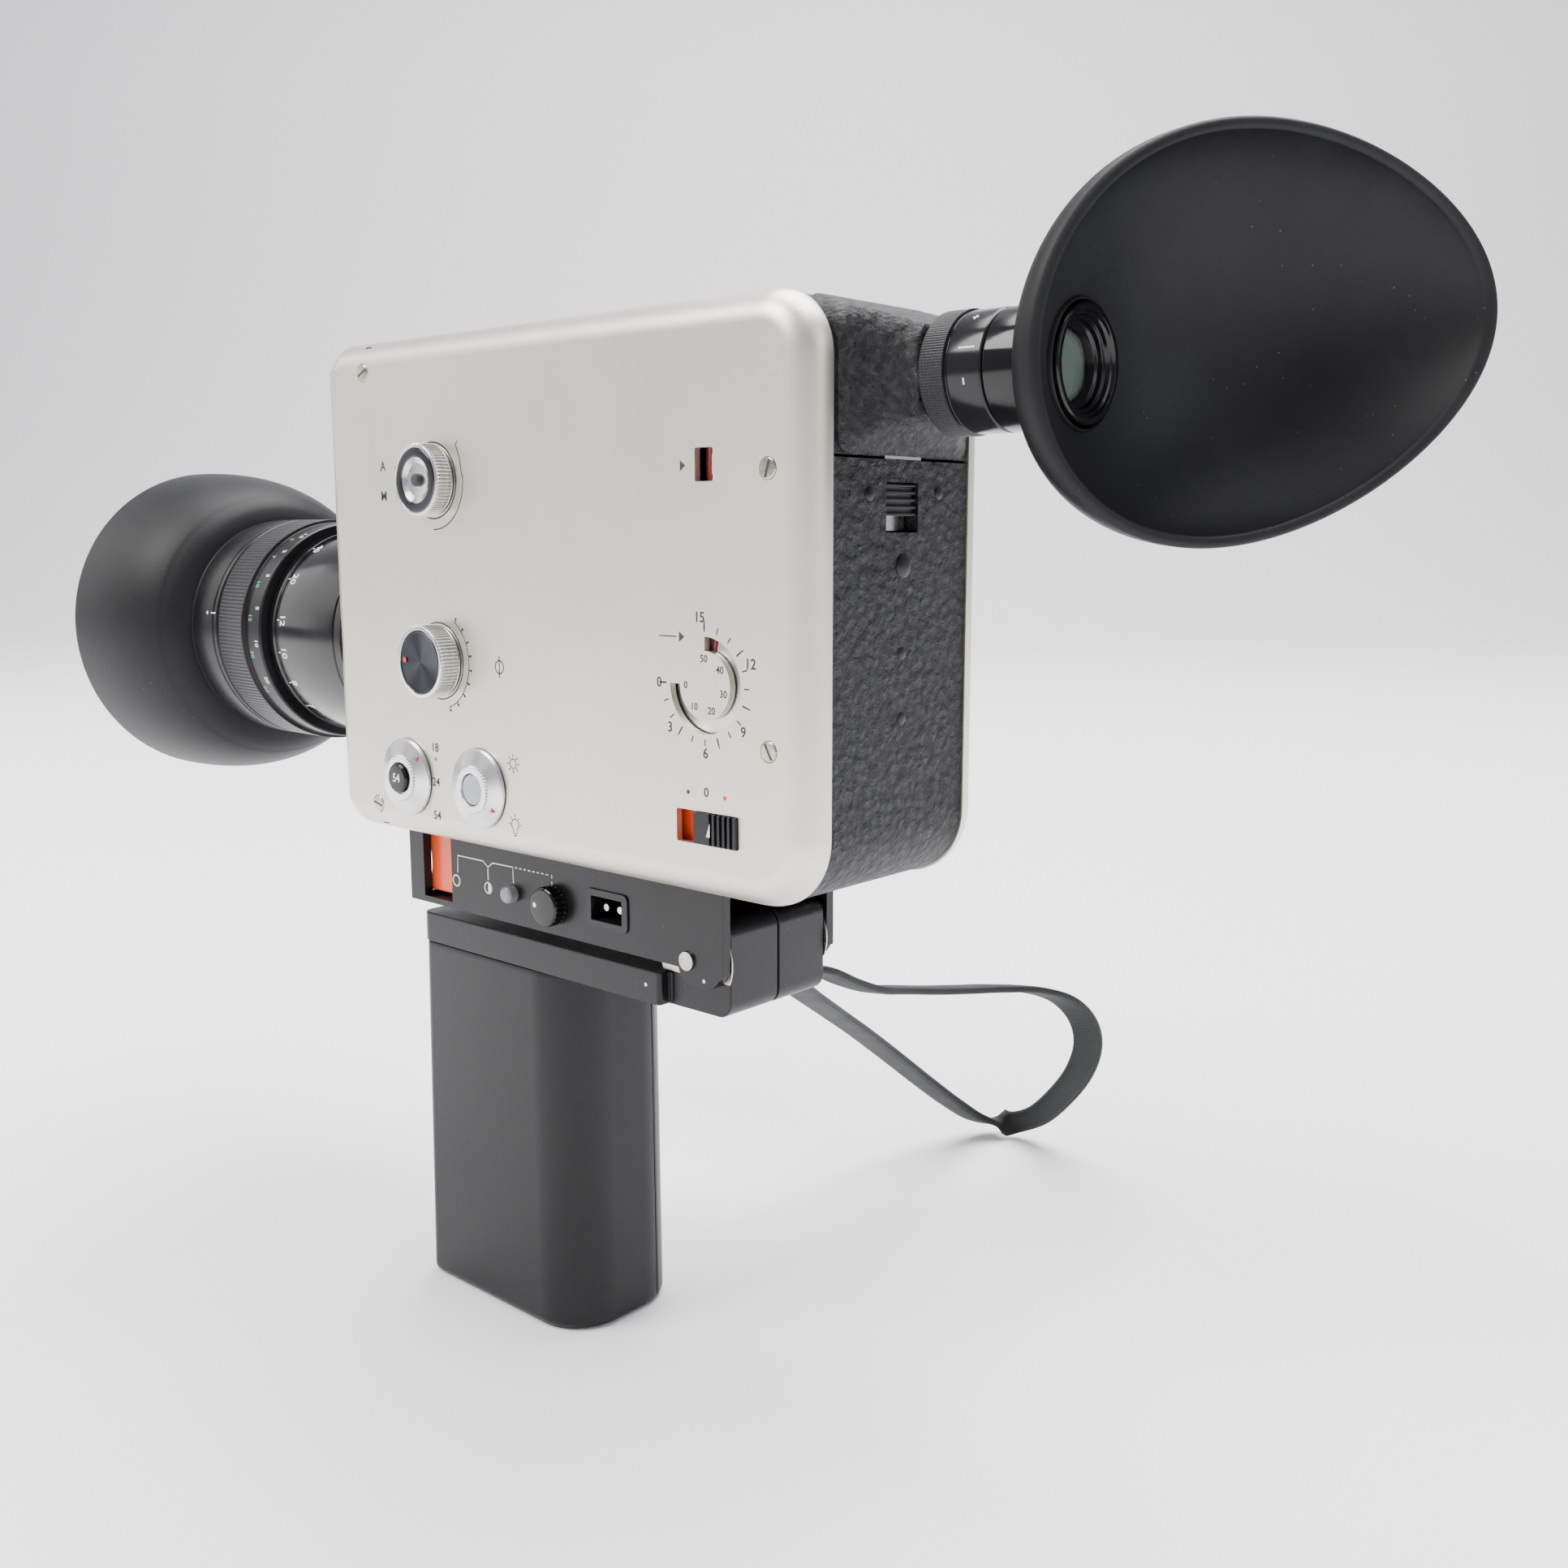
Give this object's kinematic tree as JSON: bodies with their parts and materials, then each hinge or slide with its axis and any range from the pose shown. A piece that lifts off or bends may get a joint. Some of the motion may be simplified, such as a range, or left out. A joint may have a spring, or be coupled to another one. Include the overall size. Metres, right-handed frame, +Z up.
{
  "type": "cine camera",
  "caption": "Cine camera for cartridge film with zoom lens, rubber hood, eyecup, control dials, rear film door, trigger and a folding battery grip with a wrist strap.",
  "frame": {"origin": "centre of the grip's base, on the surface the camera stands on", "axes": "-X the way the lens points, -Y the side with the controls, +Z up"},
  "size_m": [0.3308, 0.1931, 0.2452],
  "materials": {
    "left_cover": "fine satin, anodised",
    "right_cover": "fine satin, anodised",
    "cover_screws": "nickel plated, slotted",
    "centre_frame": "black, grained",
    "gate_plate": "polished",
    "door_hinge_pin": "bright",
    "viewfinder_housing": "black, leather grain",
    "finder_tube": "black anodised",
    "finder_mirror": "silvered glass block",
    "eyepiece_sleeve": "satin",
    "eyepiece_lens": "coated",
    "lens_barrel": "black anodised",
    "beam_prism": "polished",
    "relay_lens": "coated",
    "drive_motor": "satin",
    "switch_bed": "satin",
    "bottom_bracket": "satin black paint, white marks",
    "power_socket": "satin",
    "power_pins": "bright",
    "tripod_bush": "machined",
    "hinge_pin": "nickel plated",
    "hinge_block_left": "satin black",
    "hinge_block_right": "satin black",
    "grip_plate": "satin black",
    "grip_shell": "satin black",
    "battery_cells": "wrapped cells",
    "battery_holder": "matt",
    "wrist_strap": "woven, grey-green",
    "grip_cover": "satin black",
    "film_door": "black, leather grain",
    "door_latch": "satin, ribbed",
    "diopter_ring": "gloss, knurled front half",
    "eyecup": "matte, dusty",
    "zoom_ring": "gloss black, white scale",
    "focus_ring": "black, fine knurl and scale",
    "front_cell": "black anodised",
    "front_lens": "coated",
    "lens_hood": "matte",
    "variator_cell": "satin",
    "compensator_cell": "satin",
    "iris_vane": "blackened",
    "motor_pinion": "machined",
    "shutter_shaft": "machined",
    "shutter_disc": "blackened",
    "pulldown_claw": "polished",
    "takeup_spindle": "matt",
    "aperture_knob": "knurled rim, polished",
    "aperture_cap": "dished, spun",
    "shutter_knob": "knurled rim, polished",
    "shutter_knob_cap": "dished, gloss",
    "speed_dial": "turned cone",
    "slow_motion_button": "gloss",
    "filter_dial": "turned cone",
    "filter_pad": "satin",
    "counter_disc": "satin, dark pointer",
    "run_drum": "gloss",
    "main_switch": "satin, ribbed",
    "trigger": "satin",
    "lock_button": "satin",
    "remote_knob": "gloss, white dot"
  },
  "bodies": {
    "camera": {"left_cover": "left_cover", "right_cover": "right_cover", "cover_screws": "cover_screws", "centre_frame": "centre_frame", "gate_plate": "gate_plate", "door_hinge_pin": "door_hinge_pin", "viewfinder_housing": "viewfinder_housing", "finder_tube": "finder_tube", "finder_mirror": "finder_mirror", "eyepiece_sleeve": "eyepiece_sleeve", "eyepiece_lens": "eyepiece_lens", "lens_barrel": "lens_barrel", "beam_prism": "beam_prism", "relay_lens": "relay_lens", "drive_motor": "drive_motor", "switch_bed": "switch_bed", "bottom_bracket": "bottom_bracket", "power_socket": "power_socket", "power_pins": "power_pins", "tripod_bush": "tripod_bush", "hinge_pin": "hinge_pin"},
    "grip": {"hinge_block_left": "hinge_block_left", "hinge_block_right": "hinge_block_right", "grip_plate": "grip_plate", "grip_shell": "grip_shell", "battery_cells": "battery_cells", "battery_holder": "battery_holder", "wrist_strap": "wrist_strap"},
    "grip_cover": {"grip_cover": "grip_cover"},
    "film_door": {"film_door": "film_door"},
    "door_latch": {"door_latch": "door_latch"},
    "diopter_ring": {"diopter_ring": "diopter_ring"},
    "eyecup": {"eyecup": "eyecup"},
    "zoom_ring": {"zoom_ring": "zoom_ring"},
    "focus_ring": {"focus_ring": "focus_ring"},
    "front": {"front_cell": "front_cell", "front_lens": "front_lens", "lens_hood": "lens_hood"},
    "variator": {"variator_cell": "variator_cell"},
    "compensator": {"compensator_cell": "compensator_cell"},
    "iris": {"iris_vane": "iris_vane"},
    "pinion": {"motor_pinion": "motor_pinion"},
    "shutter": {"shutter_shaft": "shutter_shaft", "shutter_disc": "shutter_disc"},
    "claw": {"pulldown_claw": "pulldown_claw"},
    "takeup": {"takeup_spindle": "takeup_spindle"},
    "aperture": {"aperture_knob": "aperture_knob", "aperture_cap": "aperture_cap"},
    "shutter_setting": {"shutter_knob": "shutter_knob", "shutter_knob_cap": "shutter_knob_cap"},
    "speed": {"speed_dial": "speed_dial"},
    "slow_motion": {"slow_motion_button": "slow_motion_button"},
    "filter": {"filter_dial": "filter_dial", "filter_pad": "filter_pad"},
    "counter": {"counter_disc": "counter_disc"},
    "run_indicator": {"run_drum": "run_drum"},
    "main_switch": {"main_switch": "main_switch"},
    "trigger": {"trigger": "trigger"},
    "lock_button": {"lock_button": "lock_button"},
    "remote_knob": {"remote_knob": "remote_knob"}
  },
  "joints": [
    {"name": "grip_fold", "type": "hinge", "parent": "camera", "child": "grip", "pos_m": [0.0632, 0, 0.0957], "axis": [0, -1, 0], "range_deg": [0, 90], "deforming": ["wrist_strap"]},
    {"name": "grip_cover_slide", "type": "slide", "parent": "grip", "child": "grip_cover", "axis": [0, 1, 0], "range_m": [0, 0.04]},
    {"name": "door_open", "type": "hinge", "parent": "camera", "child": "film_door", "pos_m": [0.0875, 0, 0.1143], "axis": [0, 1, 0], "range_deg": [0, 90]},
    {"name": "latch_slide", "type": "slide", "parent": "film_door", "child": "door_latch", "axis": [0, 0, -1], "range_m": [0, 0.0026], "stiffness_N_per_m": 200, "springref_m": -0.002},
    {"name": "diopter_turn", "type": "hinge", "parent": "camera", "child": "diopter_ring", "pos_m": [0.12, 0, 0.2075], "axis": [1, 0, 0], "range_deg": [-60, 60]},
    {"name": "eyecup_turn", "type": "hinge", "parent": "camera", "child": "eyecup", "pos_m": [0.135, 0, 0.2075], "axis": [1, 0, 0], "range_deg": [-180, 180]},
    {"name": "zoom_turn", "type": "hinge", "parent": "camera", "child": "zoom_ring", "pos_m": [-0.06, 0, 0.155], "axis": [1, 0, 0], "range_deg": [0, 120]},
    {"name": "variator_travel", "type": "slide", "parent": "camera", "child": "variator", "axis": [1, 0, 0], "range_m": [0, 0.018]},
    {"name": "compensator_travel", "type": "slide", "parent": "camera", "child": "compensator", "axis": [-1, 0, 0], "range_m": [0, 0.003]},
    {"name": "focus_turn", "type": "hinge", "parent": "camera", "child": "focus_ring", "pos_m": [-0.083, 0, 0.155], "axis": [1, 0, 0], "range_deg": [0, 270]},
    {"name": "focus_travel", "type": "slide", "parent": "camera", "child": "front", "axis": [-1, 0, 0], "range_m": [0, 0.0024]},
    {"name": "aperture_turn", "type": "hinge", "parent": "camera", "child": "aperture", "pos_m": [-0.0023, -0.0265, 0.1911], "axis": [0, -1, 0], "range_deg": [0, 180]},
    {"name": "iris_swing", "type": "hinge", "parent": "camera", "child": "iris", "pos_m": [-0.034, 0, 0.166], "axis": [1, 0, 0], "range_deg": [0, 25]},
    {"name": "shutter_knob_turn", "type": "hinge", "parent": "camera", "child": "shutter_setting", "pos_m": [-0.0022, -0.0265, 0.1527], "axis": [0, -1, 0], "range_deg": [0, 110]},
    {"name": "speed_turn", "type": "hinge", "parent": "camera", "child": "speed", "pos_m": [-0.0153, -0.0265, 0.1259], "axis": [0, -1, 0], "range_deg": [-38, 38]},
    {"name": "slow_press", "type": "slide", "parent": "speed", "child": "slow_motion", "axis": [0, 1, 0], "range_m": [0, 0.0011], "stiffness_N_per_m": 150, "springref_m": -0.001},
    {"name": "filter_turn", "type": "hinge", "parent": "camera", "child": "filter", "pos_m": [0.0105, -0.0265, 0.126], "axis": [0, -1, 0], "range_deg": [0, 90]},
    {"name": "counter_turn", "type": "hinge", "parent": "camera", "child": "counter", "pos_m": [0.0778, -0.0247, 0.1525], "axis": [0, -1, 0], "range_deg": [0, 270]},
    {"name": "run_spin", "type": "hinge", "parent": "camera", "child": "run_indicator", "pos_m": [0.078, -0.0216, 0.1923], "axis": [0, 0, 1], "continuous": true},
    {"name": "switch_slide", "type": "slide", "parent": "camera", "child": "main_switch", "axis": [-1, 0, 0], "range_m": [0, 0.0048]},
    {"name": "trigger_press", "type": "slide", "parent": "camera", "child": "trigger", "axis": [1, 0, 0], "range_m": [0, 0.004], "stiffness_N_per_m": 300, "springref_m": -0.003},
    {"name": "lock_press", "type": "slide", "parent": "camera", "child": "lock_button", "axis": [0, 1, 0], "range_m": [0, 0.0015], "stiffness_N_per_m": 200, "springref_m": -0.002},
    {"name": "remote_turn", "type": "hinge", "parent": "camera", "child": "remote_knob", "pos_m": [0.0225, -0.017, 0.1006], "axis": [0, -1, 0], "range_deg": [0, 90]},
    {"name": "shutter_spin", "type": "hinge", "parent": "camera", "child": "shutter", "pos_m": [0.01, 0, 0.1382], "axis": [1, 0, 0], "continuous": true},
    {"name": "pinion_spin", "type": "hinge", "parent": "camera", "child": "pinion", "pos_m": [-0.0015, 0, 0.1274], "axis": [1, 0, 0], "continuous": true},
    {"name": "claw_stroke", "type": "slide", "parent": "camera", "child": "claw", "axis": [0, 0, -1], "range_m": [0, 0.0042]},
    {"name": "takeup_spin", "type": "hinge", "parent": "camera", "child": "takeup", "pos_m": [0.058, 0.0145, 0.15], "axis": [0, 1, 0], "continuous": true}
  ],
  "couplings": [
    {"joint": "variator_travel", "follows": "zoom_turn", "m_per_rad": 0.008594},
    {"joint": "compensator_travel", "follows": "zoom_turn", "m_per_rad": 0.001432},
    {"joint": "focus_travel", "follows": "focus_turn", "m_per_rad": 0.000509},
    {"joint": "iris_swing", "follows": "aperture_turn", "ratio": 0.1388},
    {"joint": "pinion_spin", "follows": "shutter_spin", "ratio": -2.6}
  ]
}
